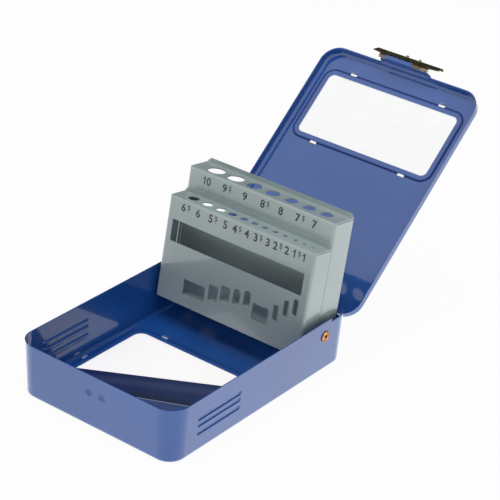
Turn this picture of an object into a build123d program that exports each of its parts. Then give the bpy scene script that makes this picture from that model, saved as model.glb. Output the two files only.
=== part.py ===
from build123d import *

import math
import os

# Case, in millimetres. X runs across the front, Y from the front to the hinge, Z up.
# The origin is the middle of the tray's foot. The lid is drawn shut and then opened.
CASE_WIDTH = 110.0
CASE_LENGTH = 154.4
CORNER_RADIUS = 11.7
SHEET = 0.6
TRAY_HEIGHT = 33.0
WALL_LEAN = 1.4
TRAY_FOLD = 2.6
LID_DEPTH = 5.8
LID_FOLD = 2.5
RIM_GAP = 0.3

# Tray floor: its underside stands on a narrow foot.
FLOOR_RISE = 1.0
FOOT_WIDTH = 1.5

# Rear of the tray: a lower rim, and a wall cut down between the corners for the hinge.
REAR_RIM_DROP = 2.2
REAR_RIM_LENGTH = 19.0
REAR_WALL_HEIGHT = 24.6
REAR_CUT_SIDE = 5.8

# Lid hinge: a rod in rolled knuckles, two on the tray and three on the lid.
HINGE_HEIGHT = 28.6
HINGE_ROD_RADIUS = 0.95
HINGE_ROD_END = 1.0
HINGE_FIT = 0.05
HINGE_SIDE = 17.0
TRAY_KNUCKLE_WIDTH = 12.0
TRAY_KNUCKLE_OFFSET = 18.0
KNUCKLE_GAP = 0.5
CURL_SLIT = 0.5
LID_NOTCH_HEIGHT = 2.1
LID_OPEN_ANGLE = 139.8

# Windows: a hole in a ring that is stepped inward, and a clear pane with hooked tabs.
WINDOW_STEP = 0.4
WINDOW_RING = 3.6
STEP_OVERLAP = 0.4
STEP_SOFTNESS = 0.25
FLOOR_WINDOW_SIDE = 8.8
FLOOR_WINDOW_LENGTH = 84.5
FLOOR_WINDOW_FRONT = 8.5
FLOOR_WINDOW_RADIUS = 5.5
LID_WINDOW_SIDE = 9.2
LID_WINDOW_LENGTH = 41.5
LID_WINDOW_FRONT = 16.3
LID_WINDOW_RADIUS = 3.5
CARD_THICKNESS = 0.3
PANE_THICKNESS = 0.4
PANE_FIT = 0.2
TAB_OFFSET = 31.5
FLOOR_TAB_WIDTH = 4.0
LID_TAB_WIDTH = 4.0
TAB_SLOT_FIT = 0.3
TAB_RISER = 0.9
FLOOR_TAB_REACH = 5.4
LID_TAB_REACH = 6.0
TAB_THICKNESS = 0.4

# Grooves in the side walls and the two dents that hold the latch.
GROOVE_REAR = 21.8
GROOVE_LENGTH = 33.7
GROOVE_HEIGHTS = (12.1, 17.1, 21.1)
GROOVE_RADIUS = 1.7
GROOVE_DEPTH = 0.7
DENT_RADIUS = 2.6
DENT_DEPTH = 1.2
DENT_SPACING = 9.0
DENT_CENTRE = 1.6

# Tongue on the lid's front flange, and the spring latch that swings on it.
TONGUE_WIDTH = 35.5
TONGUE_NARROWING = 1.0
TONGUE_GAP = 0.35
TONGUE_JOGGLE_HEIGHT = 1.9
TONGUE_LENGTH = 2.5
LATCH_DROP = 1.6
LATCH_PIN_RADIUS = 0.7
LATCH_FIT = 0.05
LATCH_SHEET = 0.5
LATCH_KNUCKLE_LEFT = -13.0
LATCH_KNUCKLE_RIGHT = 5.5
LATCH_BARREL_LEFT_WIDTH = 4.0
LATCH_BARREL_RIGHT_WIDTH = 10.5
LATCH_BARREL_GAP = 0.5
LATCH_REACH = 9.7
LATCH_WIDTH = 46.4
LATCH_CENTRE = -1.3
LATCH_WING_HEIGHT = 3.0
LATCH_LIP_RADIUS = 1.3
LATCH_REST_ANGLE = 138.0
LATCH_CORNER = 1.0
BUMP_RADIUS = 1.0
BUMP_REACH = 7.4
BUMP_CLEARANCE = 0.7
BUMP_HOLLOW = 0.9

# Drill rack, in its own frame: its pivot is the origin, and it leans back at rest.
# The pivot's place is taken from the rear of the case.
PIVOT_FROM_REAR = 23.9
PIVOT_HEIGHT = 23.5
RACK_LEAN = 9.0
RACK_SIDE_GAP = 3.9
RACK_SHIFT = -0.6
RACK_SHEET = 0.6
RACK_FOLD = 1.5
RACK_BOTTOM = -10.1
FRONT_PANEL_Y = -17.3
FRONT_SHELF_HEIGHT = 51.1
FRONT_LIP_RISE = 2.6
REAR_PANEL_Y = -3.0
REAR_SHELF_HEIGHT = 65.7
REAR_SHELF_Y = 14.3
REAR_LIP_RISE = 2.4
LIP_CHAMFER = 1.8
SHELL_GAP = 0.05
FLANGE_SLIT = 0.4
DRILL_CLEARANCE = 0.3
FRONT_HOLE_Y = -10.1
FRONT_LARGEST_DRILL = 6.5
FRONT_FIRST_HOLE = 11.4
FRONT_PITCHES = (10.0, 9.6, 8.2, 8.2, 7.4, 7.2, 7.3, 6.8, 6.8, 6.2, 5.7)
REAR_HOLE_Y = 4.9
REAR_LARGEST_DRILL = 10.0
REAR_FIRST_HOLE = 13.4
REAR_PITCHES = (13.95, 13.35, 12.9, 12.7, 12.4, 11.75)
DRILL_STEP = 0.5
SLOT_HEIGHT = 13.2
SLOT_BOTTOM = 24.8
SLOT_LEFT_MARGIN = 4.3
SLOT_RIGHT_MARGIN = 5.2
SIDE_SLIT_WIDTH = 0.9
SIDE_SLIT_Y = -5.6
SIDE_SLIT_BOTTOM = 16.0
SIDE_SLIT_TOP = 36.0
SLOT_CORNER = 0.8
REAR_SLOT_TOP = 50.2
REAR_SLOT_BOTTOM = 44.5
REAR_SLOT_LEFT_MARGIN = 9.2
REST_TAB_LENGTH = 8.0
REST_TAB_CORNER = 0.6

# Openings low in the front panel: left edge, right edge, bottom, top, and the rounding of
# the upper corners. Low openings keep a bent tab at the lower edge, high ones at the top.
# They and the drill rows are laid out on a rack of this width, and stretch with the real one.
LAYOUT_WIDTH = 102.2
LOW_OPENINGS = (
    (-32.7, -17.4, -3.6, 6.0, 0.6),
    (-14.9, -8.4, -0.1, 9.5, 0.6),
    (-6.7, -0.3, 2.5, 11.8, 0.6),
    (2.0, 6.9, 4.0, 13.4, 2.4),
    (9.3, 13.9, 5.6, 15.0, 2.2),
)
HIGH_OPENINGS = (
    (16.0, 27.1, -0.3, 9.8, 1.2),
    (29.8, 33.2, 4.6, 14.1, 1.4),
    (36.1, 39.4, 9.8, 19.3, 1.4),
    (42.1, 45.3, 12.4, 22.1, 1.4),
)

# Rack pivots: hollow rivets through the tray wall, with a spacer on each.
RIVET_RADIUS = 1.6
RIVET_BORE = 1.15
RIVET_HEAD_RADIUS = 3.3
RIVET_HEAD_THICKNESS = 0.6
RIVET_FLARE_RADIUS = 1.85
RIVET_FLARE_LENGTH = 0.5
PIVOT_FIT = 0.05
SPACER_RADIUS = 2.6
SPACER_GAP = 0.1

# Values that follow from the sizes above
HALF_WIDTH = CASE_WIDTH / 2
HALF_LENGTH = CASE_LENGTH / 2
FLOOR_WINDOW_WIDTH = CASE_WIDTH - 2 * FLOOR_WINDOW_SIDE
LID_WINDOW_WIDTH = CASE_WIDTH - 2 * LID_WINDOW_SIDE
PIVOT_Y = HALF_LENGTH - PIVOT_FROM_REAR
RACK_WIDTH = CASE_WIDTH - 2 * RACK_SIDE_GAP
STRETCH = RACK_WIDTH / LAYOUT_WIDTH
FLOOR_TOP = FLOOR_RISE + SHEET
LID_EDGE = TRAY_HEIGHT + RIM_GAP
LID_TOP = LID_EDGE + LID_DEPTH
KNUCKLE_INNER = HINGE_ROD_RADIUS + HINGE_FIT
KNUCKLE_OUTER = KNUCKLE_INNER + SHEET
HINGE_Y = HALF_LENGTH - KNUCKLE_OUTER
HINGE_AXIS = Axis((0, HINGE_Y, HINGE_HEIGHT), (1, 0, 0))
LEAN_ANGLE = math.degrees(math.atan2(WALL_LEAN, TRAY_HEIGHT))
FLOOR_WINDOW_Y = -HALF_LENGTH + FLOOR_WINDOW_FRONT + FLOOR_WINDOW_LENGTH / 2
LID_WINDOW_Y = -HALF_LENGTH + LID_WINDOW_FRONT + LID_WINDOW_LENGTH / 2
TONGUE_BACK = -HALF_LENGTH - TONGUE_GAP
TONGUE_BOTTOM = LID_EDGE - TONGUE_LENGTH
LATCH_HEIGHT = TONGUE_BOTTOM - LATCH_DROP
LATCH_BORE = LATCH_PIN_RADIUS + LATCH_FIT
LID_BARREL_OUTER = LATCH_BORE + SHEET
LATCH_Y = TONGUE_BACK - LID_BARREL_OUTER
LATCH_AXIS = Axis((0, LATCH_Y, LATCH_HEIGHT), (1, 0, 0))
LATCH_BARREL_OUTER = LATCH_BORE + LATCH_SHEET
RACK_PLACE = Location((RACK_SHIFT, PIVOT_Y, PIVOT_HEIGHT), (-RACK_LEAN, 0, 0))
FLANGE_TUCK = RACK_FOLD - math.sqrt(RACK_FOLD**2 - (RACK_FOLD - RACK_SHEET) ** 2) - SHELL_GAP
PAST = 5.0


def wall_inset(height):
    """How far the leaning tray wall stands in from the rim at a height."""
    return WALL_LEAN * (TRAY_HEIGHT - height) / TRAY_HEIGHT


def tube(radius, bore, left, right, y, z):
    """A tube, or a rod if the bore is 0, that lies along X."""
    ring = Circle(radius)
    if bore:
        ring -= Circle(bore)
    return Plane(origin=(left, y, z), x_dir=(0, 1, 0), z_dir=(1, 0, 0)) * extrude(ring, right - left)


def profile(points, left, right):
    """A solid from an outline of (y, z) points, drawn out along X."""
    outline = make_face(Polyline([(0, y, z) for y, z in points], close=True))
    return Pos(left, 0, 0) * extrude(outline, right - left, dir=(1, 0, 0))


def brick(left, right, front, rear, bottom, top):
    """A box from its six limits."""
    box = Box(right - left, rear - front, top - bottom, align=(Align.MIN, Align.MIN, Align.MIN))
    return Pos(left, front, bottom) * box


def slab(width, length, centre_y, radius, low, high):
    """A flat plate with rounded corners."""
    return Pos(0, centre_y, low) * extrude(RectangleRounded(width, length, radius), high - low)


def tray_block(inset, bottom):
    """The tray's outer form, or its inside when inset by the sheet; it narrows downward."""
    rim = RectangleRounded(CASE_WIDTH - 2 * inset, CASE_LENGTH - 2 * inset, CORNER_RADIUS - inset)
    rim = Plane(origin=(0, 0, TRAY_HEIGHT), z_dir=(0, 0, -1)) * rim
    block = extrude(rim, TRAY_HEIGHT - bottom, taper=LEAN_ANGLE)
    return fillet(block.edges().group_by(Axis.Z)[0], TRAY_FOLD - inset)


def curl(outer, inner, left, right, y, z, slit_angle):
    """A rolled knuckle, with the slit where the sheet's end stops short."""
    ring = tube(outer, inner, left, right, y, z)
    slit = Rectangle(outer + PAST, CURL_SLIT, align=(Align.MIN, Align.CENTER))
    slit = Plane(origin=(left, y, z), x_dir=(0, 1, 0), z_dir=(1, 0, 0)) * Rot(0, 0, slit_angle) * slit
    return ring - extrude(slit, right - left, dir=(1, 0, 0))


def tab_places(width, length, centre_y, sides):
    """Places of the pane's tabs on a window's edges, with X pointing out from the window."""
    places = []
    for x in (-TAB_OFFSET, TAB_OFFSET):
        places.append(Location((x, centre_y + length / 2, 0), (0, 0, 90)))
        places.append(Location((x, centre_y - length / 2, 0), (0, 0, -90)))
    if sides:
        places.append(Location((width / 2, centre_y, 0), (0, 0, 0)))
        places.append(Location((-width / 2, centre_y, 0), (0, 0, 180)))
    return places


def cut_window(panel, width, length, centre_y, radius, inner, outer, tab_width, sides):
    """Gives a panel a window in a ring that is stepped toward the inner face."""
    inward = 1 if inner > outer else -1
    ring = WINDOW_RING
    recess = ring - STEP_OVERLAP
    stepped = sorted((outer + inward * WINDOW_STEP, inner + inward * WINDOW_STEP))
    raised = slab(width + 2 * ring, length + 2 * ring, centre_y, radius + ring, *stepped)
    crest = raised.faces().sort_by(Axis.Z)[-1 if inward > 0 else 0]
    panel += fillet(crest.edges(), STEP_SOFTNESS)
    hollow = sorted((outer - inward * FLOOR_RISE, outer + inward * WINDOW_STEP))
    panel -= slab(width + 2 * recess, length + 2 * recess, centre_y, radius + recess, *hollow)
    low = min(inner, outer) - PAST
    high = max(inner, outer) + PAST
    panel -= slab(width, length, centre_y, radius, low, high)
    slot_start = recess - TAB_SLOT_FIT / 2
    slot_end = recess + PANE_FIT + TAB_RISER + TAB_SLOT_FIT
    half = tab_width / 2 + TAB_SLOT_FIT
    for place in tab_places(width, length, centre_y, sides):
        panel -= place * brick(slot_start, slot_end, -half, half, low, high)
    return panel


def window_pane(width, length, centre_y, radius, inner, outer, seat, tab_width, reach, sides):
    """A clear pane in the recess; its tabs hook through the slots onto the inner face."""
    inward = 1 if inner > outer else -1
    edge = WINDOW_RING - STEP_OVERLAP - PANE_FIT
    faces = sorted((seat, seat - inward * PANE_THICKNESS))
    pane = slab(width + 2 * edge, length + 2 * edge, centre_y, radius + edge, *faces)
    riser_start = WINDOW_RING - STEP_OVERLAP + PANE_FIT
    riser_end = riser_start + TAB_RISER
    hook_top = inner + inward * TAB_THICKNESS
    riser_faces = sorted((faces[0] if inward > 0 else faces[1], hook_top))
    hook_faces = sorted((inner, hook_top))
    half = tab_width / 2
    for place in tab_places(width, length, centre_y, sides):
        pane += place * brick(edge - TAB_RISER, riser_end, -half, half, *faces)
        pane += place * brick(riser_start, riser_end, -half, half, *riser_faces)
        hook = brick(riser_start, reach, -half, half, *hook_faces)
        corners = hook.edges().filter_by(Axis.Z).group_by(Axis.X)[-1]
        pane += place * fillet(corners, tab_width / 3)
    return pane


def side_grooves(radius):
    """The side walls' grooves as rounded bars; the larger bars form the bulge inside."""
    bars = Part()
    for height in GROOVE_HEIGHTS:
        x = HALF_WIDTH - wall_inset(height) + GROOVE_RADIUS - GROOVE_DEPTH
        front = -GROOVE_REAR - GROOVE_LENGTH / 2
        for side in (-1, 1):
            bar = Rot(90, 0, 0) * Cylinder(radius, GROOVE_LENGTH)
            bar += Pos(0, GROOVE_LENGTH / 2, 0) * Sphere(radius)
            bar += Pos(0, -GROOVE_LENGTH / 2, 0) * Sphere(radius)
            bars += Pos(side * x, front, height) * bar
    return bars


def latch_dents(radius):
    """The two round dents in the front wall, as balls outside it."""
    height = LATCH_HEIGHT - BUMP_REACH
    y = -HALF_LENGTH + wall_inset(height) - DENT_RADIUS + DENT_DEPTH
    balls = Part()
    for side in (-0.5, 0.5):
        balls += Pos(DENT_CENTRE + side * DENT_SPACING, y, height) * Sphere(radius)
    return balls


def tray_tabs():
    """The two leaves that rise from the rear wall and curl over the hinge rod."""
    root = REAR_WALL_HEIGHT - SHEET
    wall = HALF_LENGTH - wall_inset(root)
    outline = [
        (wall - SHEET, root),
        (wall, root),
        (HALF_LENGTH, HINGE_HEIGHT),
        (HALF_LENGTH - SHEET, HINGE_HEIGHT),
    ]
    tabs = Part()
    for x in (-TRAY_KNUCKLE_OFFSET, TRAY_KNUCKLE_OFFSET):
        left = x - TRAY_KNUCKLE_WIDTH / 2
        right = x + TRAY_KNUCKLE_WIDTH / 2
        tabs += profile(outline, left, right)
        tabs += curl(KNUCKLE_OUTER, KNUCKLE_INNER, left, right, HINGE_Y, HINGE_HEIGHT, -45)
    return tabs


def make_tray():
    outer = tray_block(0, 0)
    tray = outer - tray_block(SHEET, FLOOR_TOP)
    foot = WALL_LEAN + TRAY_FOLD + FOOT_WIDTH
    recess_radius = CORNER_RADIUS - foot
    tray -= slab(CASE_WIDTH - 2 * foot, CASE_LENGTH - 2 * foot, 0, recess_radius, 0, FLOOR_RISE)
    tray = cut_window(
        tray, FLOOR_WINDOW_WIDTH, FLOOR_WINDOW_LENGTH, FLOOR_WINDOW_Y, FLOOR_WINDOW_RADIUS,
        FLOOR_TOP, FLOOR_RISE, FLOOR_TAB_WIDTH, True,
    )
    tray += side_grooves(GROOVE_RADIUS + SHEET) & outer
    tray -= side_grooves(GROOVE_RADIUS)
    tray += latch_dents(DENT_RADIUS + SHEET) & outer
    tray -= latch_dents(DENT_RADIUS)
    rear_start = HALF_LENGTH - REAR_RIM_LENGTH
    rear_rim = TRAY_HEIGHT - REAR_RIM_DROP
    tray -= brick(-HALF_WIDTH, HALF_WIDTH, rear_start, HALF_LENGTH, rear_rim, TRAY_HEIGHT)
    half_cut = HALF_WIDTH - REAR_CUT_SIDE
    cut_front = HALF_LENGTH - CORNER_RADIUS
    tray -= brick(-half_cut, half_cut, cut_front, HALF_LENGTH, REAR_WALL_HEIGHT, TRAY_HEIGHT)
    tray += tray_tabs()
    hole = RIVET_RADIUS + PIVOT_FIT
    return tray - tube(hole, 0, -HALF_WIDTH, HALF_WIDTH, PIVOT_Y, PIVOT_HEIGHT)


def lid_hinge_leaves():
    """Three leaves that drop from the lid's rear flange and curl under the hinge rod."""
    tab_out = TRAY_KNUCKLE_OFFSET + TRAY_KNUCKLE_WIDTH / 2 + KNUCKLE_GAP
    tab_in = TRAY_KNUCKLE_OFFSET - TRAY_KNUCKLE_WIDTH / 2 - KNUCKLE_GAP
    end = HALF_WIDTH - HINGE_SIDE
    leaves = Part()
    for left, right in ((-end, -tab_out), (-tab_in, tab_in), (tab_out, end)):
        leaves += brick(left, right, HALF_LENGTH - SHEET, HALF_LENGTH, HINGE_HEIGHT, LID_EDGE + SHEET)
        leaves += curl(KNUCKLE_OUTER, KNUCKLE_INNER, left, right, HINGE_Y, HINGE_HEIGHT, 45)
    return leaves


def lid_tongue():
    """The stepped tongue on the front flange, with the knuckle for the latch pin."""
    joggle_top = LID_EDGE + TONGUE_JOGGLE_HEIGHT
    step = TONGUE_GAP + SHEET
    outline = [
        (-HALF_LENGTH, joggle_top),
        (-HALF_LENGTH - step, joggle_top - step),
        (-HALF_LENGTH - step, TONGUE_BOTTOM),
        (TONGUE_BACK, TONGUE_BOTTOM),
        (TONGUE_BACK, joggle_top - step - SHEET / 2),
        (-HALF_LENGTH + SHEET, joggle_top - SHEET / 2),
        (-HALF_LENGTH + SHEET, joggle_top),
    ]
    half = TONGUE_WIDTH / 2
    tongue = profile(outline, -half, half)
    front_view = [
        (-half, joggle_top),
        (-half, LID_EDGE),
        (-half + TONGUE_NARROWING, TONGUE_BOTTOM),
        (half - TONGUE_NARROWING, TONGUE_BOTTOM),
        (half, LID_EDGE),
        (half, joggle_top),
    ]
    face = make_face(Polyline([(x, -HALF_LENGTH - PAST, z) for x, z in front_view], close=True))
    tongue &= extrude(face, 2 * PAST, dir=(0, 1, 0))
    left = LATCH_KNUCKLE_LEFT
    right = LATCH_KNUCKLE_RIGHT
    tongue += brick(left, right, TONGUE_BACK - SHEET, TONGUE_BACK, LATCH_HEIGHT, TONGUE_BOTTOM)
    tongue += curl(LID_BARREL_OUTER, LATCH_BORE, left, right, LATCH_Y, LATCH_HEIGHT, 135)
    return tongue


def make_lid():
    outer = slab(CASE_WIDTH, CASE_LENGTH, 0, CORNER_RADIUS, LID_EDGE, LID_TOP)
    outer = fillet(outer.edges().group_by(Axis.Z)[-1], LID_FOLD)
    width = CASE_WIDTH - 2 * SHEET
    length = CASE_LENGTH - 2 * SHEET
    inner = slab(width, length, 0, CORNER_RADIUS - SHEET, LID_EDGE, LID_TOP - SHEET)
    inner = fillet(inner.edges().group_by(Axis.Z)[-1], LID_FOLD - SHEET)
    lid = outer - inner
    lid = cut_window(
        lid, LID_WINDOW_WIDTH, LID_WINDOW_LENGTH, LID_WINDOW_Y, LID_WINDOW_RADIUS,
        LID_TOP - SHEET, LID_TOP, LID_TAB_WIDTH, False,
    )
    half = TONGUE_WIDTH / 2
    joggle = LID_EDGE + TONGUE_JOGGLE_HEIGHT - SHEET / 2
    lid -= brick(-half, half, -HALF_LENGTH, -HALF_LENGTH + SHEET, LID_EDGE, joggle)
    lid += lid_tongue()
    for x in (-TRAY_KNUCKLE_OFFSET, TRAY_KNUCKLE_OFFSET):
        reach = TRAY_KNUCKLE_WIDTH / 2 + KNUCKLE_GAP
        notch_top = LID_EDGE + LID_NOTCH_HEIGHT
        lid -= brick(x - reach, x + reach, HALF_LENGTH - SHEET, HALF_LENGTH, LID_EDGE, notch_top)
    return lid + lid_hinge_leaves()


def make_latch_clip():
    """The spring latch, drawn closed: a plate under the barrels, with its free edge rolled."""
    back = LATCH_Y + LATCH_BARREL_OUTER
    front = back - LATCH_SHEET
    bottom = LATCH_HEIGHT - LATCH_REACH
    lip_y = back - LATCH_LIP_RADIUS
    lip_z = bottom + LATCH_LIP_RADIUS
    left = LATCH_CENTRE - LATCH_WIDTH / 2
    right = LATCH_CENTRE + LATCH_WIDTH / 2
    plate = brick(left, right, front, back, lip_z, LATCH_HEIGHT)
    lip = tube(LATCH_LIP_RADIUS, LATCH_LIP_RADIUS - LATCH_SHEET, left, right, lip_y, lip_z)
    plate += lip & brick(left, right, lip_y - LATCH_SHEET, back, bottom, lip_z)
    barrel_left = LATCH_KNUCKLE_LEFT - LATCH_BARREL_GAP - LATCH_BARREL_LEFT_WIDTH
    barrel_right = LATCH_KNUCKLE_RIGHT + LATCH_BARREL_GAP + LATCH_BARREL_RIGHT_WIDTH
    neck = LATCH_HEIGHT - LATCH_BARREL_OUTER
    wing = LATCH_HEIGHT - LATCH_WING_HEIGHT
    front_view = [
        (barrel_left, LATCH_HEIGHT),
        (barrel_left, neck),
        (left, wing),
        (left, bottom),
        (right, bottom),
        (right, wing),
        (barrel_right, neck),
        (barrel_right, LATCH_HEIGHT),
    ]
    face = make_face(Polyline([(x, 0, z) for x, z in front_view], close=True))
    form = Pos(0, back + PAST, 0) * extrude(face, 3 * PAST, dir=(0, -1, 0))
    form = fillet(form.edges().filter_by(Axis.Y).group_by(Axis.Z)[0], LATCH_CORNER)
    plate &= form
    gap_left = LATCH_KNUCKLE_LEFT - LATCH_BARREL_GAP
    gap_right = LATCH_KNUCKLE_RIGHT + LATCH_BARREL_GAP
    plate -= brick(gap_left, gap_right, front, back, neck - LATCH_BARREL_GAP, LATCH_HEIGHT)
    for start, end in ((barrel_left, gap_left), (gap_right, barrel_right)):
        plate += curl(LATCH_BARREL_OUTER, LATCH_BORE, start, end, LATCH_Y, LATCH_HEIGHT, 45)
    bump_height = LATCH_HEIGHT - BUMP_REACH
    dent_bottom = -HALF_LENGTH + wall_inset(bump_height) + DENT_DEPTH
    bump_y = dent_bottom - BUMP_CLEARANCE - BUMP_RADIUS
    skin = back - LATCH_SHEET / 2
    for side in (-0.5, 0.5):
        x = DENT_CENTRE + side * DENT_SPACING
        bump = Pos(x, bump_y, bump_height) * Sphere(BUMP_RADIUS)
        plate += bump & brick(left, right, skin, back + PAST, bottom, LATCH_HEIGHT)
    for side in (-0.5, 0.5):
        x = DENT_CENTRE + side * DENT_SPACING
        plate -= Pos(x, front, bump_height) * Sphere(BUMP_HOLLOW)
    return plate


def make_latch_pin():
    left = LATCH_KNUCKLE_LEFT - LATCH_BARREL_GAP - LATCH_BARREL_LEFT_WIDTH - LATCH_FIT
    right = LATCH_KNUCKLE_RIGHT + LATCH_BARREL_GAP + LATCH_BARREL_RIGHT_WIDTH + LATCH_FIT
    return tube(LATCH_PIN_RADIUS, 0, left, right, LATCH_Y, LATCH_HEIGHT)


def rack_shell(front, rear, top, lip_rise):
    """Folded sheet: a panel, a shelf with an upturned lip, and two side flanges."""
    half = RACK_WIDTH / 2
    outer = brick(-half, half, front, rear, RACK_BOTTOM, top)
    folds = outer.edges().filter_by(Axis.Z).group_by(Axis.Y)[0]
    folds += outer.edges().filter_by(Axis.X).group_by(Axis.Y)[0].sort_by(Axis.Z)[-1:]
    outer = fillet(folds, RACK_FOLD)
    shelf_bottom = top - RACK_SHEET
    inner_half = half - RACK_SHEET
    inner = brick(-inner_half, inner_half, front + RACK_SHEET, rear + PAST, RACK_BOTTOM, shelf_bottom)
    folds = inner.edges().filter_by(Axis.Z).group_by(Axis.Y)[0]
    folds += inner.edges().filter_by(Axis.X).group_by(Axis.Y)[0].sort_by(Axis.Z)[-1:]
    shell = outer - fillet(folds, RACK_FOLD - RACK_SHEET)
    for side in (-1, 1):
        edge = side * inner_half
        left = min(edge, side * (half + PAST))
        right = max(edge, side * (half + PAST))
        slit_bottom = shelf_bottom - FLANGE_SLIT
        shell -= brick(left, right, front + RACK_FOLD, rear, slit_bottom, shelf_bottom)
    lip = brick(-half, half, rear - RACK_SHEET, rear, shelf_bottom, top + lip_rise)
    corners = lip.edges().filter_by(Axis.Y).group_by(Axis.Z)[-1]
    return shell + chamfer(corners, LIP_CHAMFER)


def drill_holes(largest, first, pitches, y, top):
    """A row of drill holes in a shelf, from the largest at the left in steps of half a size."""
    x = -RACK_WIDTH / 2 + first * STRETCH
    size = largest
    holes = Part()
    for pitch in (*pitches, 0):
        radius = (size + DRILL_CLEARANCE) / 2
        holes += Pos(x, y, top - RACK_SHEET) * extrude(Circle(radius), 2 * RACK_SHEET, both=True)
        x += pitch * STRETCH
        size -= DRILL_STEP
    return holes


def panel_cut(left, right, bottom, top, low_corner, high_corner, panel=FRONT_PANEL_Y):
    """The prism that cuts an opening through a panel."""
    face = Rectangle(right - left, top - bottom)
    face = fillet(face.vertices().group_by(Axis.Y)[-1], high_corner)
    face = fillet(face.vertices().group_by(Axis.Y)[0], low_corner)
    middle = ((left + right) / 2, panel, (bottom + top) / 2)
    place = Plane(origin=middle, x_dir=(1, 0, 0), z_dir=(0, -1, 0))
    return place * extrude(face, 2 * RACK_SHEET, both=True)


def rest_tab(left, right, height):
    """A tab bent inward from the panel, on which a drill's end rests."""
    inside = FRONT_PANEL_Y + RACK_SHEET
    tab = brick(left, right, FRONT_PANEL_Y, inside + REST_TAB_LENGTH, height, height + RACK_SHEET)
    corners = tab.edges().filter_by(Axis.Z).group_by(Axis.Y)[-1]
    return fillet(corners, REST_TAB_CORNER)


def make_rack_front_shell():
    shell = rack_shell(FRONT_PANEL_Y, REAR_PANEL_Y, FRONT_SHELF_HEIGHT, FRONT_LIP_RISE)
    shell -= drill_holes(
        FRONT_LARGEST_DRILL, FRONT_FIRST_HOLE, FRONT_PITCHES, FRONT_HOLE_Y, FRONT_SHELF_HEIGHT
    )
    half = RACK_WIDTH / 2
    tuck = REAR_PANEL_Y + FLANGE_TUCK
    flange_top = FRONT_SHELF_HEIGHT - RACK_SHEET - FLANGE_SLIT
    for left in (-half, half - RACK_SHEET):
        shell += brick(left, left + RACK_SHEET, REAR_PANEL_Y, tuck, RACK_BOTTOM, flange_top)
    slot_top = SLOT_BOTTOM + SLOT_HEIGHT
    slot_left = -half + SLOT_LEFT_MARGIN
    slot_right = half - SLOT_RIGHT_MARGIN
    shell -= panel_cut(slot_left, slot_right, SLOT_BOTTOM, slot_top, SLOT_CORNER, SLOT_CORNER)
    slit_front = SIDE_SLIT_Y - SIDE_SLIT_WIDTH / 2
    slit_rear = SIDE_SLIT_Y + SIDE_SLIT_WIDTH / 2
    flange_inside = -half + 2 * RACK_SHEET
    shell -= brick(-half, flange_inside, slit_front, slit_rear, SIDE_SLIT_BOTTOM, SIDE_SLIT_TOP)
    for start, end, bottom, top, rounding in LOW_OPENINGS:
        left = start * STRETCH
        right = end * STRETCH
        corner = rounding * STRETCH
        shell -= panel_cut(left, right, bottom, top, REST_TAB_CORNER, corner)
        shell += rest_tab(left, right, bottom - RACK_SHEET)
    for start, end, bottom, top, rounding in HIGH_OPENINGS:
        left = start * STRETCH
        right = end * STRETCH
        corner = rounding * STRETCH
        shell -= panel_cut(left, right, bottom, top, corner, corner)
        quarter = (right - left) / 4
        shell += rest_tab(left + quarter, right - quarter, top - RACK_SHEET / 2)
    return shell


def make_rack_rear_shell():
    shell = rack_shell(REAR_PANEL_Y, REAR_SHELF_Y, REAR_SHELF_HEIGHT, REAR_LIP_RISE)
    shell -= drill_holes(
        REAR_LARGEST_DRILL, REAR_FIRST_HOLE, REAR_PITCHES, REAR_HOLE_Y, REAR_SHELF_HEIGHT
    )
    half = RACK_WIDTH / 2
    slot_left = -half + REAR_SLOT_LEFT_MARGIN
    slot_right = half - SLOT_RIGHT_MARGIN
    shell -= panel_cut(
        slot_left, slot_right, REAR_SLOT_BOTTOM, REAR_SLOT_TOP, SLOT_CORNER, SLOT_CORNER, REAR_PANEL_Y
    )
    return shell - tube(RIVET_RADIUS + PIVOT_FIT, 0, -RACK_WIDTH, RACK_WIDTH, 0, 0)


def make_rivet(side):
    """A hollow rivet from the outside of the wall, through the spacer, into the rack."""
    wall = HALF_WIDTH - wall_inset(PIVOT_HEIGHT + RIVET_HEAD_RADIUS)
    head = wall + RIVET_HEAD_THICKNESS
    rack_inside = RACK_WIDTH / 2 + side * RACK_SHIFT - RACK_SHEET - 2 * PIVOT_FIT
    rivet = tube(RIVET_HEAD_RADIUS, RIVET_BORE, wall, head, 0, 0)
    rim = rivet.edges().filter_by(GeomType.CIRCLE).group_by(Axis.X)[-1]
    rivet = fillet(rim.sort_by(lambda edge: edge.radius)[-1:], RIVET_HEAD_THICKNESS / 2)
    rivet += tube(RIVET_RADIUS, RIVET_BORE, rack_inside - RIVET_FLARE_LENGTH, wall, 0, 0)
    flare_start = rack_inside - RIVET_FLARE_LENGTH
    rivet += tube(RIVET_FLARE_RADIUS, RIVET_BORE, flare_start, rack_inside, 0, 0)
    if side < 0:
        rivet = mirror(rivet, Plane.YZ)
    return Pos(0, PIVOT_Y, PIVOT_HEIGHT) * rivet


def make_spacer(side):
    """A tube that keeps the rack off the tray wall."""
    inner_end = RACK_WIDTH / 2 + side * RACK_SHIFT + SPACER_GAP
    outer_end = HALF_WIDTH - wall_inset(PIVOT_HEIGHT - SPACER_RADIUS) - SHEET
    spacer = tube(SPACER_RADIUS, RIVET_RADIUS, inner_end, outer_end, PIVOT_Y, PIVOT_HEIGHT)
    if side < 0:
        spacer = mirror(spacer, Plane.YZ)
    return spacer


def make_floor_card():
    edge = WINDOW_RING - STEP_OVERLAP - PANE_FIT
    seat = FLOOR_RISE + WINDOW_STEP
    width = FLOOR_WINDOW_WIDTH + 2 * edge
    length = FLOOR_WINDOW_LENGTH + 2 * edge
    radius = FLOOR_WINDOW_RADIUS + edge
    return slab(width, length, FLOOR_WINDOW_Y, radius, seat - CARD_THICKNESS, seat)


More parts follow.
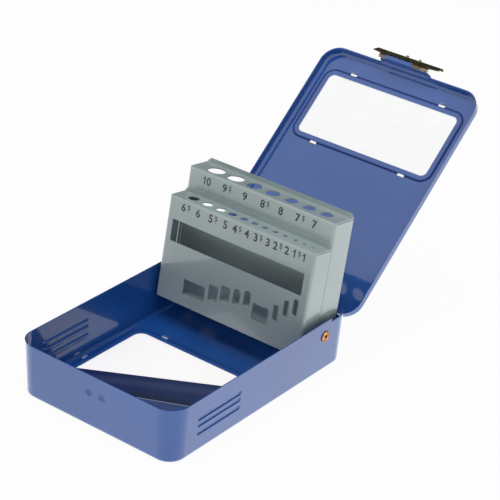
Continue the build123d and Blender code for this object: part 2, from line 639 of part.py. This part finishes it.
def make_floor_pane():
    seat = FLOOR_RISE + WINDOW_STEP - CARD_THICKNESS
    return window_pane(
        FLOOR_WINDOW_WIDTH, FLOOR_WINDOW_LENGTH, FLOOR_WINDOW_Y, FLOOR_WINDOW_RADIUS,
        FLOOR_TOP, FLOOR_RISE, seat, FLOOR_TAB_WIDTH, FLOOR_TAB_REACH, True,
    )


def make_lid_pane():
    return window_pane(
        LID_WINDOW_WIDTH, LID_WINDOW_LENGTH, LID_WINDOW_Y, LID_WINDOW_RADIUS,
        LID_TOP - SHEET, LID_TOP, LID_TOP - WINDOW_STEP, LID_TAB_WIDTH, LID_TAB_REACH, False,
    )


def opened(piece):
    """Turns a piece of the shut lid about the hinge to its open place."""
    return piece.rotate(HINGE_AXIS, -LID_OPEN_ANGLE)


def unlatched(piece):
    """Turns the closed latch out and back, as it hangs on the open lid."""
    return piece.rotate(LATCH_AXIS, -LATCH_REST_ANGLE)


hinge_rod_end = HALF_WIDTH - HINGE_SIDE + HINGE_ROD_END
pieces = {
    "tray": make_tray(),
    "hinge_rod": tube(HINGE_ROD_RADIUS, 0, -hinge_rod_end, hinge_rod_end, HINGE_Y, HINGE_HEIGHT),
    "left_pivot_rivet": make_rivet(-1),
    "right_pivot_rivet": make_rivet(1),
    "left_pivot_spacer": make_spacer(-1),
    "right_pivot_spacer": make_spacer(1),
    "floor_card": make_floor_card(),
    "floor_window_pane": make_floor_pane(),
    "rack_front_shell": RACK_PLACE * make_rack_front_shell(),
    "rack_rear_shell": RACK_PLACE * make_rack_rear_shell(),
    "lid": opened(make_lid()),
    "lid_window_pane": opened(make_lid_pane()),
    "latch_pin": opened(make_latch_pin()),
    "latch_clip": opened(unlatched(make_latch_clip())),
}

os.makedirs("parts", exist_ok=True)
for name, piece in pieces.items():
    export_step(piece, os.path.join("parts", name + ".step"))
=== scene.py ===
# %% [markdown]
# # A drill index box, dressed in Blender
# The box is folded from thin steel: a tray, a lid on a rod hinge, and a stepped rack that
# folds down inside. Its sheet forms come from the CAD model, because folds, windows and
# drill holes have exact sizes there. Blender adds what CAD doesn't hold: enamel, bronzed
# steel, clear plastic, the printed card and the printed sizes.

import math

import bpy
from mathutils import Matrix, Vector


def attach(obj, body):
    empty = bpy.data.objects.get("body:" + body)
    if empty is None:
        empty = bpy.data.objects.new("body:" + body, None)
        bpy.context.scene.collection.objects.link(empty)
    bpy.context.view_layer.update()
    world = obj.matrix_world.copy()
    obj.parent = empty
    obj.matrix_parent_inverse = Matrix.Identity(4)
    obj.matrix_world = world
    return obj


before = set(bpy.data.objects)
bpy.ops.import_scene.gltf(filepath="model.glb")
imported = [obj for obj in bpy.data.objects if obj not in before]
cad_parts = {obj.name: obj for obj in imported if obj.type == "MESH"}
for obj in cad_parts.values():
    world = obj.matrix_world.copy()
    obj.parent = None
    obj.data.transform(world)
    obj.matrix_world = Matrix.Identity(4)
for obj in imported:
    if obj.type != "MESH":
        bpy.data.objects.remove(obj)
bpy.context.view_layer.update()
print("pieces:", len(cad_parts))

# %% [markdown]
# Some places are needed again and again: the hinge line of the lid, the pivot of the rack,
# and the angle of each. Millimetres are easier to read in this work, so lengths are
# written in them and turned to metres where Blender needs them.

# %% Places that the finishes and numbers share
MM = 0.001
LID_HINGE = Vector((0, 75.6, 28.6)) * MM
LID_ANGLE = math.radians(139.8)
RACK_PIVOT = Vector((0, 53.3, 23.5)) * MM
RACK_LEAN = math.radians(9.0)


def rack_place(x, y, z):
    """A point of the rack's own frame, in millimetres, as a place in the scene."""
    turned = Matrix.Rotation(-RACK_LEAN, 3, "X") @ Vector((0, y, z))
    return RACK_PIVOT + (turned + Vector((x, 0, 0))) * MM


print("top of the rear shelf:", tuple(round(v, 4) for v in rack_place(0, 4.9, 65.7)))

# %% [markdown]
# The camera stands where the photographer stood, a little over a metre away, to the right
# and above. A long lens keeps the sides nearly parallel. Its axes are worked out from the
# compass angle, the height angle and a small roll, which is surer than turning it by eye.

# %% Camera
CAMERA_PLACE = Vector((597.66, -761.42, 597.78)) * MM
CAMERA_AZIMUTH = math.radians(36.94)
CAMERA_ELEVATION = math.radians(27.21)
CAMERA_ROLL = math.radians(3.45)
FOCAL_PIXELS = 2056.61
FRAME_PIXELS = 500
PRINCIPAL_POINT = (231.21, 214.71)
SENSOR = 36.0

forward = Vector((
    -math.sin(CAMERA_AZIMUTH) * math.cos(CAMERA_ELEVATION),
    math.cos(CAMERA_AZIMUTH) * math.cos(CAMERA_ELEVATION),
    -math.sin(CAMERA_ELEVATION),
))
level_right = forward.cross(Vector((0, 0, 1))).normalized()
level_up = level_right.cross(forward)
right = level_right * math.cos(CAMERA_ROLL) + level_up * math.sin(CAMERA_ROLL)
up = level_up * math.cos(CAMERA_ROLL) - level_right * math.sin(CAMERA_ROLL)
axes = Matrix((right, up, -forward)).transposed().to_4x4()

camera_data = bpy.data.cameras.new("camera")
camera_data.sensor_width = SENSOR
camera_data.lens = FOCAL_PIXELS * SENSOR / FRAME_PIXELS
camera_data.shift_x = (FRAME_PIXELS / 2 - PRINCIPAL_POINT[0]) / FRAME_PIXELS
camera_data.shift_y = (PRINCIPAL_POINT[1] - FRAME_PIXELS / 2) / FRAME_PIXELS
camera = bpy.data.objects.new("camera", camera_data)
camera.matrix_world = Matrix.Translation(CAMERA_PLACE) @ axes
bpy.context.scene.collection.objects.link(camera)
bpy.context.scene.camera = camera
bpy.context.scene.view_settings.view_transform = "Standard"
print("lens:", round(camera_data.lens, 1), "mm")

# %% [markdown]
# Materials are node trees, and most trees need the same small steps: make a node, set its
# sockets, link it on. These helpers keep the recipes short enough to read.

# %% Helpers for node trees


def new_material(name):
    """A material with a Principled BSDF, and that node."""
    material = bpy.data.materials.new(name)
    material.use_nodes = True
    return material, material.node_tree.nodes["Principled BSDF"]


def feed(tree, socket, value):
    """Links a socket to another, or sets it to a value."""
    if isinstance(value, bpy.types.NodeSocket):
        tree.links.new(value, socket)
    else:
        socket.default_value = value


def math_node(tree, operation, first, second=0.0):
    node = tree.nodes.new("ShaderNodeMath")
    node.operation = operation
    feed(tree, node.inputs[0], first)
    feed(tree, node.inputs[1], second)
    return node.outputs[0]


def measured_from(tree, coordinates, origin):
    """The same places, measured from another origin."""
    node = tree.nodes.new("ShaderNodeVectorMath")
    node.operation = "SUBTRACT"
    feed(tree, node.inputs[0], coordinates)
    feed(tree, node.inputs[1], origin)
    return node.outputs["Vector"]


def mix_colour(tree, factor, first, second):
    node = tree.nodes.new("ShaderNodeMix")
    node.data_type = "RGBA"
    feed(tree, node.inputs["Factor"], factor)
    feed(tree, node.inputs["A"], first)
    feed(tree, node.inputs["B"], second)
    return node.outputs["Result"]


def mix_number(tree, factor, first, second):
    node = tree.nodes.new("ShaderNodeMix")
    feed(tree, node.inputs["Factor"], factor)
    feed(tree, node.inputs["A"], first)
    feed(tree, node.inputs["B"], second)
    return node.outputs["Result"]


def ramp(tree, value, low, high):
    """0 below low, 1 above high, and smooth between; low may be the larger."""
    node = tree.nodes.new("ShaderNodeMapRange")
    node.interpolation_type = "SMOOTHSTEP"
    feed(tree, node.inputs["Value"], value)
    node.inputs["From Min"].default_value = low
    node.inputs["From Max"].default_value = high
    return node.outputs["Result"]


def noise(tree, coordinates, scale, detail=2.0):
    node = tree.nodes.new("ShaderNodeTexNoise")
    feed(tree, node.inputs["Vector"], coordinates)
    node.inputs["Scale"].default_value = scale
    node.inputs["Detail"].default_value = detail
    return node.outputs["Fac"]


def object_coordinates(tree):
    return tree.nodes.new("ShaderNodeTexCoord").outputs["Object"]


def bump(tree, height, distance):
    node = tree.nodes.new("ShaderNodeBump")
    node.inputs["Strength"].default_value = 1.0
    node.inputs["Distance"].default_value = distance
    feed(tree, node.inputs["Height"], height)
    return node.outputs["Normal"]


def group_tree(name, inputs, outputs):
    """An empty node group with named sockets, and its two end nodes."""
    tree = bpy.data.node_groups.new(name, "ShaderNodeTree")
    for label, kind in inputs:
        tree.interface.new_socket(label, in_out="INPUT", socket_type=kind)
    for label, kind in outputs:
        tree.interface.new_socket(label, in_out="OUTPUT", socket_type=kind)
    start = tree.nodes.new("NodeGroupInput")
    end = tree.nodes.new("NodeGroupOutput")
    return tree, start, end


def use_group(tree, group, **values):
    """Places a node group and feeds its inputs by name, with _ for a space."""
    node = tree.nodes.new("ShaderNodeGroup")
    node.node_tree = group
    for label, value in values.items():
        feed(tree, node.inputs[label.replace("_", " ")], value)
    return node


# %% [markdown]
# Stove enamel is never quite even. It has a faint orange peel that bends reflections, a
# few pale specks of dust, and a slow drift of tone. Both the blue and the grey paint need
# that, so it is one node group with its own amounts in each material.

# %% Shared effect: the skin of stove enamel
enamel_skin, start, end = group_tree(
    "enamel_skin",
    [("Coordinates", "NodeSocketVector"), ("Peel Scale", "NodeSocketFloat")],
    [("Tone", "NodeSocketFloat"), ("Dust", "NodeSocketFloat"), ("Height", "NodeSocketFloat")],
)
coordinates = start.outputs["Coordinates"]
peel = enamel_skin.nodes.new("ShaderNodeTexNoise")
feed(enamel_skin, peel.inputs["Vector"], coordinates)
feed(enamel_skin, peel.inputs["Scale"], start.outputs["Peel Scale"])
peel.inputs["Detail"].default_value = 3.0
specks = enamel_skin.nodes.new("ShaderNodeTexVoronoi")
specks.inputs["Scale"].default_value = 110.0
feed(enamel_skin, specks.inputs["Vector"], coordinates)
drift = noise(enamel_skin, coordinates, 14.0)
feed(enamel_skin, end.inputs["Tone"], drift)
feed(enamel_skin, end.inputs["Dust"], ramp(enamel_skin, specks.outputs["Distance"], 0.06, 0.02))
feed(enamel_skin, end.inputs["Height"], peel.outputs["Fac"])
print("group:", enamel_skin.name)

# %% [markdown]
# Round each window the sheet is stepped, and the wall of the step lies in shade. That shade
# is painted as a dark line, which follows a rectangle with round corners. A distance field gives
# it:
# how far a point lies outside such a rectangle, from its half width, half length and
# corner radius. One group serves the lid and the tray.

# %% Shared effect: distance from a rounded rectangle
frame_distance, start, end = group_tree(
    "frame_distance",
    [
        ("Across", "NodeSocketFloat"), ("Along", "NodeSocketFloat"),
        ("Half Width", "NodeSocketFloat"), ("Half Length", "NodeSocketFloat"),
        ("Radius", "NodeSocketFloat"),
    ],
    [("Distance", "NodeSocketFloat")],
)
overhangs = []
for place, half in (("Across", "Half Width"), ("Along", "Half Length")):
    straight = math_node(frame_distance, "SUBTRACT", start.outputs[half], start.outputs["Radius"])
    distance = math_node(frame_distance, "ABSOLUTE", start.outputs[place])
    overhangs.append(math_node(frame_distance, "SUBTRACT", distance, straight))
outside = [math_node(frame_distance, "MAXIMUM", value, 0.0) for value in overhangs]
squares = [math_node(frame_distance, "MULTIPLY", value, value) for value in outside]
corner = math_node(frame_distance, "SQRT", math_node(frame_distance, "ADD", *squares))
inside = math_node(frame_distance, "MINIMUM", math_node(frame_distance, "MAXIMUM", *overhangs), 0.0)
total = math_node(frame_distance, "ADD", corner, inside)
feed(frame_distance, end.inputs["Distance"],
     math_node(frame_distance, "SUBTRACT", total, start.outputs["Radius"]))
print("group:", frame_distance.name)

# %% [markdown]
# The blue is a hard gloss enamel over steel. Its own colour is deep, and the pale look of
# the outer walls is the bright room in its clear top layer. So the material has a dark
# base under a strong coat. In the step round each window shade is painted in: a darker colour, with
# the coat thinned there so that it stays dull.

# %% Blue enamel
BLUE = (0.014, 0.086, 0.345, 1.0)
BLUE_DEEP = (0.011, 0.072, 0.300, 1.0)
BLUE_DUST = (0.16, 0.22, 0.36, 1.0)
# Painted shade: the colour of the shaded step round each window.
STEP_SHADE = (0.005, 0.030, 0.160, 1.0)
STEP_INSET = 0.2
STEP_OUTER = 1.1
STEP_INNER = 0.3
SHEET_REACH = 2.5
FLOOR_WINDOW = (49.8, 45.85, 9.1)
LID_WINDOW = (49.4, 24.35, 7.1)
FLOOR_WINDOW_MIDDLE = Vector((0, -26.45, 1.6)) * MM
LID_WINDOW_FROM_HINGE = Vector((0, 115.75, -9.9)) * MM


def blue_enamel(name, window, to_window):
    """Blue enamel with painted shade in the step round a window.

    window is the step's half width, half length and corner radius in millimetres, and
    to_window turns places in the scene to places measured from the window's middle.
    """
    material, shader = new_material(name)
    tree = material.node_tree
    coordinates = object_coordinates(tree)
    skin = use_group(tree, enamel_skin, Coordinates=coordinates, Peel_Scale=650.0)
    tone = ramp(tree, skin.outputs["Tone"], 0.35, 0.65)
    colour = mix_colour(tree, tone, BLUE_DEEP, BLUE)
    dust = math_node(tree, "MULTIPLY", skin.outputs["Dust"], 0.35)
    colour = mix_colour(tree, dust, colour, BLUE_DUST)
    parts = tree.nodes.new("ShaderNodeSeparateXYZ")
    feed(tree, parts.inputs[0], to_window(tree, coordinates))
    half_width, half_length, radius = window
    ring = use_group(
        tree, frame_distance, Across=parts.outputs["X"], Along=parts.outputs["Y"],
        Half_Width=half_width * MM, Half_Length=half_length * MM, Radius=radius * MM,
    )
    # Painted shade: a mask of the step round the window, whose wall lies in shade; it darkens the
    # colour and thins the coat.
    offset = math_node(tree, "ADD", ring.outputs["Distance"], STEP_INSET * MM)
    gap = math_node(tree, "ABSOLUTE", offset)
    line = ramp(tree, gap, STEP_OUTER * MM, STEP_INNER * MM)
    depth = math_node(tree, "ABSOLUTE", parts.outputs["Z"])
    near = ramp(tree, depth, SHEET_REACH * MM, SHEET_REACH * 0.8 * MM)
    line = math_node(tree, "MULTIPLY", line, near)
    colour = mix_colour(tree, line, colour, STEP_SHADE)
    feed(tree, shader.inputs["Base Color"], colour)
    rough = mix_number(tree, skin.outputs["Dust"], 0.30, 0.6)
    feed(tree, shader.inputs["Roughness"], rough)
    feed(tree, shader.inputs["Normal"], bump(tree, skin.outputs["Height"], 0.006 * MM))
    feed(tree, shader.inputs["Coat Weight"], mix_number(tree, line, 1.0, 0.1))
    shader.inputs["Coat Roughness"].default_value = 0.06
    shader.inputs["Coat IOR"].default_value = 1.5
    shader.inputs["Specular IOR Level"].default_value = 0.15
    return material


def tray_window(tree, coordinates):
    """Places measured from the middle of the floor window, at the floor."""
    return measured_from(tree, coordinates, FLOOR_WINDOW_MIDDLE)


def lid_window(tree, coordinates):
    """Places measured from the middle of the lid window, with the lid turned shut."""
    from_hinge = measured_from(tree, coordinates, LID_HINGE)
    turn = tree.nodes.new("ShaderNodeMapping")
    turn.vector_type = "POINT"
    feed(tree, turn.inputs["Vector"], from_hinge)
    turn.inputs["Rotation"].default_value = (LID_ANGLE, 0, 0)
    turn.inputs["Location"].default_value = LID_WINDOW_FROM_HINGE
    return turn.outputs["Vector"]


tray_blue = blue_enamel("tray_blue", FLOOR_WINDOW, tray_window)
lid_blue = blue_enamel("lid_blue", LID_WINDOW, lid_window)
print("blue enamel:", tray_blue.name, lid_blue.name)

# %% [markdown]
# The rack is a cool grey-green enamel, a touch more satin than the blue. Its peel is
# finer, and tiny flecks in it break up the reflections.

# %% Grey enamel
GREY = (0.360, 0.435, 0.435, 1.0)
GREY_DEEP = (0.312, 0.385, 0.388, 1.0)
GREY_DUST = (0.60, 0.62, 0.60, 1.0)

grey_enamel, shader = new_material("grey_enamel")
tree = grey_enamel.node_tree
coordinates = object_coordinates(tree)
skin = use_group(tree, enamel_skin, Coordinates=coordinates, Peel_Scale=900.0)
tone = ramp(tree, skin.outputs["Tone"], 0.35, 0.65)
colour = mix_colour(tree, tone, GREY_DEEP, GREY)
fleck = ramp(tree, noise(tree, coordinates, 2600.0, 1.0), 0.60, 0.72)
colour = mix_colour(tree, math_node(tree, "MULTIPLY", fleck, 0.25), colour, GREY_DUST)
feed(tree, shader.inputs["Base Color"], colour)
feed(tree, shader.inputs["Roughness"], mix_number(tree, fleck, 0.38, 0.48))
feed(tree, shader.inputs["Normal"], bump(tree, skin.outputs["Height"], 0.008 * MM))
shader.inputs["Coat Weight"].default_value = 1.0
shader.inputs["Coat Roughness"].default_value = 0.08
shader.inputs["Coat IOR"].default_value = 1.5
shader.inputs["Specular IOR Level"].default_value = 0.2
print("grey enamel:", grey_enamel.name)

# %% [markdown]
# The latch is spring steel with a brown heat finish, and the rod, pin and spacers are
# plain bright steel. Both were rolled, so fine scratches run along them. Noise stretched
# along one axis draws such scratches, and one function makes both metals.

# %% Bare metals


def bare_metal(name, dark, light, roughness, patch_scale, edge_tint):
    """Metal between two tones, with scratches along X; edge_tint colours its shallow gleam."""
    material, shader = new_material(name)
    tree = material.node_tree
    coordinates = object_coordinates(tree)
    stretch = tree.nodes.new("ShaderNodeMapping")
    stretch.inputs["Scale"].default_value = (0.06, 1.0, 1.0)
    feed(tree, stretch.inputs["Vector"], coordinates)
    scratches = noise(tree, stretch.outputs["Vector"], 4200.0, 3.0)
    patches = ramp(tree, noise(tree, coordinates, patch_scale, 3.0), 0.4, 0.62)
    feed(tree, shader.inputs["Base Color"], mix_colour(tree, patches, dark, light))
    shader.inputs["Metallic"].default_value = 1.0
    shader.inputs["Specular Tint"].default_value = edge_tint
    rough = mix_number(tree, scratches, roughness * 0.7, roughness * 1.4)
    feed(tree, shader.inputs["Roughness"], rough)
    feed(tree, shader.inputs["Normal"], bump(tree, scratches, 0.01 * MM))
    return material


bronzed_steel = bare_metal(
    "bronzed_steel", (0.105, 0.092, 0.060, 1.0), (0.200, 0.174, 0.118, 1.0), 0.30, 240.0,
    (0.68, 0.62, 0.48, 1.0))
bright_steel = bare_metal(
    "bright_steel", (0.42, 0.43, 0.44, 1.0), (0.60, 0.61, 0.62, 1.0), 0.28, 220.0,
    (1.0, 1.0, 1.0, 1.0))
coppery_brass = bare_metal(
    "coppery_brass", (0.26, 0.11, 0.055, 1.0), (0.56, 0.28, 0.14, 1.0), 0.26, 500.0,
    (1.0, 0.8, 0.6, 1.0))
print("metals:", bronzed_steel.name, bright_steel.name, coppery_brass.name)

# %% [markdown]
# The panes are thin clear plastic, hardly seen except where a hook lies on the paint. Real
# refraction adds nothing in a sheet this thin and costs many samples, so the plastic is a
# pale surface that lets most light straight through.

# %% Clear plastic
clear_plastic, shader = new_material("clear_plastic")
tree = clear_plastic.node_tree
haze = ramp(tree, noise(tree, object_coordinates(tree), 60.0), 0.3, 0.7)
feed(tree, shader.inputs["Base Color"], (0.93, 0.95, 0.96, 1.0))
feed(tree, shader.inputs["Roughness"], mix_number(tree, haze, 0.06, 0.14))
feed(tree, shader.inputs["Alpha"], mix_number(tree, haze, 0.09, 0.13))
print("plastic:", clear_plastic.name)

# %% [markdown]
# The card under the floor window is white, with a deep blue field cut off by a slanting
# edge and a pale line across the field. Each edge is a straight line on the card, so the
# height of a point above that line, smoothed over a fraction of a millimetre, is the mask.
# The white field also glows a little, as painted light, so that it shows as white as paper on a lit
# table.

# %% Printed card
CARD_WHITE = (0.955, 0.935, 0.915, 1.0)
CARD_NAVY = (0.0060, 0.0170, 0.085, 1.0)
CARD_BAND = (0.026, 0.040, 0.118, 1.0)
CARD_NIGHT = (0.0037, 0.0110, 0.040, 1.0)
CARD_BLUE = (0.036, 0.068, 0.200, 1.0)
CARD_LINE = (0.32, 0.36, 0.46, 1.0)
CARD_PAINTED_GLOW = 0.36
EDGE = 0.15 * MM

printed_card, shader = new_material("printed_card")
tree = printed_card.node_tree
coordinates = object_coordinates(tree)
parts = tree.nodes.new("ShaderNodeSeparateXYZ")
feed(tree, parts.inputs[0], coordinates)


def beyond(slope, offset, softness=EDGE):
    """1 on the rear side of the line y = slope * x + offset."""
    level = math_node(tree, "MULTIPLY", parts.outputs["X"], slope)
    height = math_node(tree, "SUBTRACT", parts.outputs["Y"], level)
    return ramp(tree, height, offset * MM - softness, offset * MM + softness)


colour = mix_colour(tree, beyond(0.48, -37.6), CARD_BLUE, CARD_LINE)
colour = mix_colour(tree, beyond(0.48, -37.0), colour, CARD_NIGHT)
colour = mix_colour(tree, beyond(0.48, -32.5, 1.5 * MM), colour, CARD_NAVY)
colour = mix_colour(tree, beyond(0.58, -24.0, 2.5 * MM), colour, CARD_BAND)
colour = mix_colour(tree, beyond(0.58, -17.0, 2.5 * MM), colour, CARD_NAVY)
white_field = beyond(0.58, -11.4)
colour = mix_colour(tree, white_field, colour, CARD_WHITE)
# Painted light: the white field emits a little light of its own.
feed(tree, shader.inputs["Emission Color"], CARD_WHITE)
glow = math_node(tree, "MULTIPLY", white_field, CARD_PAINTED_GLOW)
feed(tree, shader.inputs["Emission Strength"], glow)
fibre = noise(tree, coordinates, 1800.0, 4.0)
feed(tree, shader.inputs["Base Color"], colour)
feed(tree, shader.inputs["Roughness"], mix_number(tree, fibre, 0.35, 0.5))
feed(tree, shader.inputs["Normal"], bump(tree, fibre, 0.01 * MM))
print("card:", printed_card.name)

# %% [markdown]
# Each CAD piece now gets its finish. Only the material slots change; the meshes and the
# places stay as the CAD made them.

# %% Give every piece its finish
finishes = {
    "tray": tray_blue,
    "lid": lid_blue,
    "rack_front_shell": grey_enamel,
    "rack_rear_shell": grey_enamel,
    "latch_clip": bronzed_steel,
    "latch_pin": bright_steel,
    "hinge_rod": bright_steel,
    "left_pivot_spacer": bright_steel,
    "right_pivot_spacer": bright_steel,
    "left_pivot_rivet": coppery_brass,
    "right_pivot_rivet": coppery_brass,
    "floor_card": printed_card,
    "floor_window_pane": clear_plastic,
    "lid_window_pane": clear_plastic,
}
for name, material in finishes.items():
    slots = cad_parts[name].data.materials
    slots.clear()
    slots.append(material)
print("finished:", len(finishes), "of", len(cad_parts))

# %% [markdown]
# The sizes are screen-printed on the two panels in black, with the half sizes as a small
# raised 5 over a dot. Ink has almost no thickness, but a real piece is better than a
# painted mask here: it stays sharp at any distance. Blender's text tool writes each
# figure, the figure becomes a mesh, and then it is scaled to its height and given a
# hair of thickness.

# %% Printing ink
ink, shader = new_material("printing_ink")
tree = ink.node_tree
patchy = ramp(tree, noise(tree, object_coordinates(tree), 1500.0, 3.0), 0.3, 0.7)
feed(tree, shader.inputs["Base Color"],
     mix_colour(tree, patchy, (0.010, 0.011, 0.013, 1.0), (0.022, 0.024, 0.028, 1.0)))
feed(tree, shader.inputs["Roughness"], mix_number(tree, patchy, 0.35, 0.5))
print("ink:", ink.name)

# %% Write one figure as a flat mesh
FIGURE_HEIGHT = 4.7
SMALL_HEIGHT = 2.9
INK_THICKNESS = 0.03
LETTER_WEIGHT = 0.020
ONE = (
    (0.30, 0.0), (0.47, 0.0), (0.47, 1.0), (0.35, 1.0), (0.29, 0.87),
    (0.20, 0.79), (0.08, 0.73), (0.08, 0.60), (0.20, 0.65), (0.30, 0.72),
)


def flat_figure(text):
    """A flat mesh of one figure. The 1 is drawn from given points, because the font's has no flag.
    """
    bpy.ops.object.select_all(action="DESELECT")
    if text == "1":
        mesh = bpy.data.meshes.new("one")
        mesh.from_pydata([(x, y, 0) for x, y in ONE], [], [range(len(ONE))])
        piece = bpy.data.objects.new("one", mesh)
        bpy.context.scene.collection.objects.link(piece)
        bpy.context.view_layer.objects.active = piece
        piece.select_set(True)
        return piece
    bpy.ops.object.text_add(location=(0, 0, 0))
    written = bpy.context.object
    written.data.body = text
    written.data.offset = LETTER_WEIGHT
    bpy.ops.object.convert(target="MESH")
    return bpy.context.object


def figure(text, height, x, z, panel):
    """A figure on a panel at y' = panel; x is its middle and z its foot, in millimetres."""
    piece = flat_figure(text)
    corners = [vertex.co for vertex in piece.data.vertices]
    left = min(co.x for co in corners)
    width = max(co.x for co in corners) - left
    foot = min(co.y for co in corners)
    scale = height * MM / (max(co.y for co in corners) - foot)
    centre = Matrix.Translation((-left - width / 2, -foot, 0))
    size = Matrix.Diagonal((scale, scale, scale, 1.0))
    stand = Matrix.Rotation(math.pi / 2 - RACK_LEAN, 4, "X")
    place = Matrix.Translation(rack_place(x, panel - INK_THICKNESS, z))
    piece.data.transform(place @ stand @ size @ centre)
    solidify = piece.modifiers.new("ink", "SOLIDIFY")
    solidify.thickness = INK_THICKNESS * MM
    solidify.offset = -1.0
    bpy.ops.object.modifier_apply(modifier=solidify.name)
    return piece


# %% [markdown]
# A half size is three marks: the figure, the raised 5 and its dot, and the 10 is two. The
# row is written from the largest size down, and all its marks are joined to one piece that
# rides on the rack.

# %% Print the two rows of sizes
RAISED = 1.8
SIDE_STEP = 3.7
DOT_SIZE = 0.6
DOT_RISE = 0.6
TEN_STEP = 3.3


def print_row(name, largest, middles, foot, panel):
    """All sizes of one row, from the largest down in halves."""
    marks = []
    size = largest
    for x in middles:
        half = size % 1 > 0
        whole = str(int(size))
        if half:
            marks.append(figure(whole, FIGURE_HEIGHT, x - SIDE_STEP / 2, foot, panel))
            marks.append(figure("5", SMALL_HEIGHT, x + SIDE_STEP / 2, foot + RAISED, panel))
            marks.append(figure(".", DOT_SIZE, x + SIDE_STEP / 2, foot + DOT_RISE, panel))
        elif len(whole) > 1:
            marks.append(figure(whole[0], FIGURE_HEIGHT, x - TEN_STEP / 2, foot, panel))
            marks.append(figure(whole[1], FIGURE_HEIGHT, x + TEN_STEP / 2, foot, panel))
        else:
            marks.append(figure(whole, FIGURE_HEIGHT, x, foot, panel))
        size -= 0.5
    bpy.ops.object.select_all(action="DESELECT")
    for mark in marks:
        mark.select_set(True)
    bpy.context.view_layer.objects.active = marks[0]
    bpy.ops.object.join()
    row = bpy.context.object
    row.name = name
    row.data.materials.clear()
    row.data.materials.append(ink)
    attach(row, "rack_body")
    print(name, len(row.data.polygons), "faces")


FRONT_LARGEST, FRONT_FOOT, FRONT_PANEL = 6.5, 44.4, -17.3
FRONT_MIDDLES = (-39.3, -30.7, -19.9, -11.3, -2.8, 3.9, 11.9, 18.4, 25.5, 31.5, 38.2, 42.9)
REAR_LARGEST, REAR_FOOT, REAR_PANEL = 10.0, 58.5, -3.0
REAR_MIDDLES = (-38.7, -23.7, -11.2, 3.2, 14.0, 27.5, 37.1)
print_row("front_sizes", FRONT_LARGEST, FRONT_MIDDLES, FRONT_FOOT, FRONT_PANEL)
print_row("rear_sizes", REAR_LARGEST, REAR_MIDDLES, REAR_FOOT, REAR_PANEL)

# %% [markdown]
# The room is a product photographer's: a white table that runs on to the horizon and a
# white surround. The table is lit so strongly that the photo shows it as plain white. It
# throws most of the light on the outer walls, and the enamel mirrors it. The camera sees
# it as white, so the strength depends on the kind of ray.

# %% Table
TABLE_LIGHT = 1.3
TABLE_GLEAM = 1.6


def seen_strength(tree, light, gleam):
    """Strength 1 to the camera, gleam in reflections, and light to everything else."""
    rays = tree.nodes.new("ShaderNodeLightPath")
    mirrored = mix_number(tree, rays.outputs["Is Glossy Ray"], light, gleam)
    camera_ray = rays.outputs["Is Camera Ray"]
    direct = math_node(tree, "MAXIMUM", camera_ray, rays.outputs["Is Transmission Ray"])
    return mix_number(tree, direct, mirrored, 1.0)


bpy.ops.object.select_all(action="DESELECT")
bpy.ops.mesh.primitive_plane_add(size=12.0, location=(0, 0, 0))
table = bpy.context.object
table.name = "studio_table"
paper, shader = new_material("studio_paper")
tree = paper.node_tree
feed(tree, shader.inputs["Base Color"], (0.80, 0.80, 0.80, 1.0))
feed(tree, shader.inputs["Roughness"], 0.9)
white = tree.nodes.new("ShaderNodeEmission")
white.inputs["Color"].default_value = (1.0, 1.0, 1.0, 1.0)
feed(tree, white.inputs["Strength"], seen_strength(tree, TABLE_LIGHT, TABLE_GLEAM))
blend = tree.nodes.new("ShaderNodeMixShader")
blend.inputs[0].default_value = 0.96
feed(tree, blend.inputs[1], shader.outputs["BSDF"])
feed(tree, blend.inputs[2], white.outputs["Emission"])
feed(tree, tree.nodes["Material Output"].inputs["Surface"], blend.outputs["Shader"])
table.data.materials.append(paper)
print("table:", table.name)

# %% [markdown]
# The rest of the light comes from above and from the right, from large soft boxes, and
# the surround fills the shadows. In reflections the surround is bright in front and dark
# behind, as with a black cloth at the back, so the floor under the rack stays deep blue.

# %% Soft light
SURROUND_LIGHT = 0.32
SURROUND_GLEAM = 1.7
CLOTH_GLEAM = 0.10

world = bpy.data.worlds.new("studio")
world.use_nodes = True
tree = world.node_tree
background = tree.nodes["Background"]
background.inputs["Color"].default_value = (1.0, 1.0, 1.0, 1.0)
direction = tree.nodes.new("ShaderNodeSeparateXYZ")
feed(tree, direction.inputs[0], tree.nodes.new("ShaderNodeTexCoord").outputs["Generated"])
behind = ramp(tree, direction.outputs["Y"], 0.15, 0.55)
gleam = mix_number(tree, behind, SURROUND_GLEAM, CLOTH_GLEAM)
feed(tree, background.inputs["Strength"], seen_strength(tree, SURROUND_LIGHT, gleam))
bpy.context.scene.world = world


def soft_box(name, place, target, size, power):
    """A square area lamp aimed at a point; sizes and places in metres."""
    data = bpy.data.lights.new(name, "AREA")
    data.shape = "SQUARE"
    data.size = size
    data.energy = power
    lamp = bpy.data.objects.new(name, data)
    lamp.location = place
    aim = Vector(target) - Vector(place)
    lamp.rotation_euler = aim.to_track_quat("-Z", "Y").to_euler()
    lamp.visible_glossy = False
    bpy.context.scene.collection.objects.link(lamp)


soft_box("top_box", (0.0, -0.1, 1.3), (0, 0.03, 0), 0.9, 8.0)
soft_box("right_box", (1.2, -0.3, 0.5), (0, 0.03, 0.03), 0.6, 1.0)
